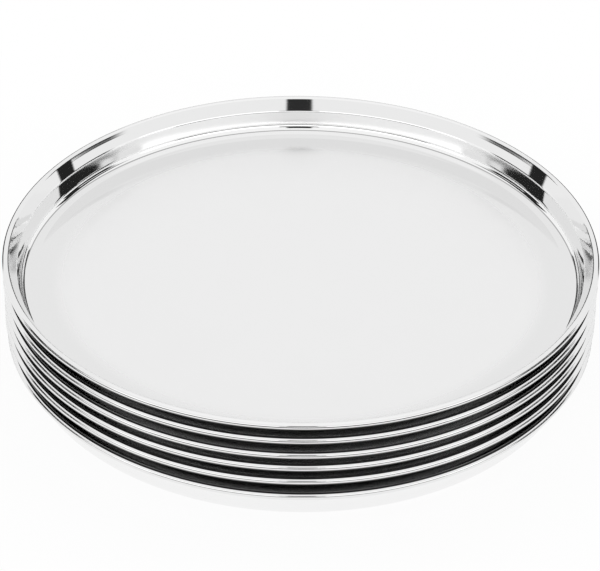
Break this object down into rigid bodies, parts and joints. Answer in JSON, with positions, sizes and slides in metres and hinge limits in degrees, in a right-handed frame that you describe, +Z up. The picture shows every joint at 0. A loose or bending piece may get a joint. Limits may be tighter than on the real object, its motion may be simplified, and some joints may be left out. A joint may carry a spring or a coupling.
{
  "type": "thali plate",
  "caption": "Nest of round polished-steel thali plates, each with a flat floor, short upright wall, flared lip and curled bead, for serving a meal.",
  "frame": {"origin": "centre of the bottom plate's underside, where the nest stands", "axes": "+Z up, along the common axis of the plates; X and Y are equivalent because every plate is round"},
  "size_m": [0.3004, 0.3004, 0.0604],
  "materials": {
    "polished_steel": "polished"
  },
  "bodies": {
    "bottom_plate": {"bottom_plate": "polished_steel"},
    "second_plate": {"second_plate": "polished_steel"},
    "third_plate": {"third_plate": "polished_steel"},
    "fourth_plate": {"fourth_plate": "polished_steel"},
    "fifth_plate": {"fifth_plate": "polished_steel"},
    "top_plate": {"top_plate": "polished_steel"}
  },
  "joints": [
    {"name": "second_plate_lift", "type": "slide", "parent": "bottom_plate", "child": "second_plate", "axis": [0, 0, 1], "range_m": [0, 0.06]},
    {"name": "third_plate_lift", "type": "slide", "parent": "second_plate", "child": "third_plate", "axis": [0, 0, 1], "range_m": [0, 0.06]},
    {"name": "fourth_plate_lift", "type": "slide", "parent": "third_plate", "child": "fourth_plate", "axis": [0, 0, 1], "range_m": [0, 0.06]},
    {"name": "fifth_plate_lift", "type": "slide", "parent": "fourth_plate", "child": "fifth_plate", "axis": [0, 0, 1], "range_m": [0, 0.06]},
    {"name": "top_plate_lift", "type": "slide", "parent": "fifth_plate", "child": "top_plate", "axis": [0, 0, 1], "range_m": [0, 0.06]}
  ]
}
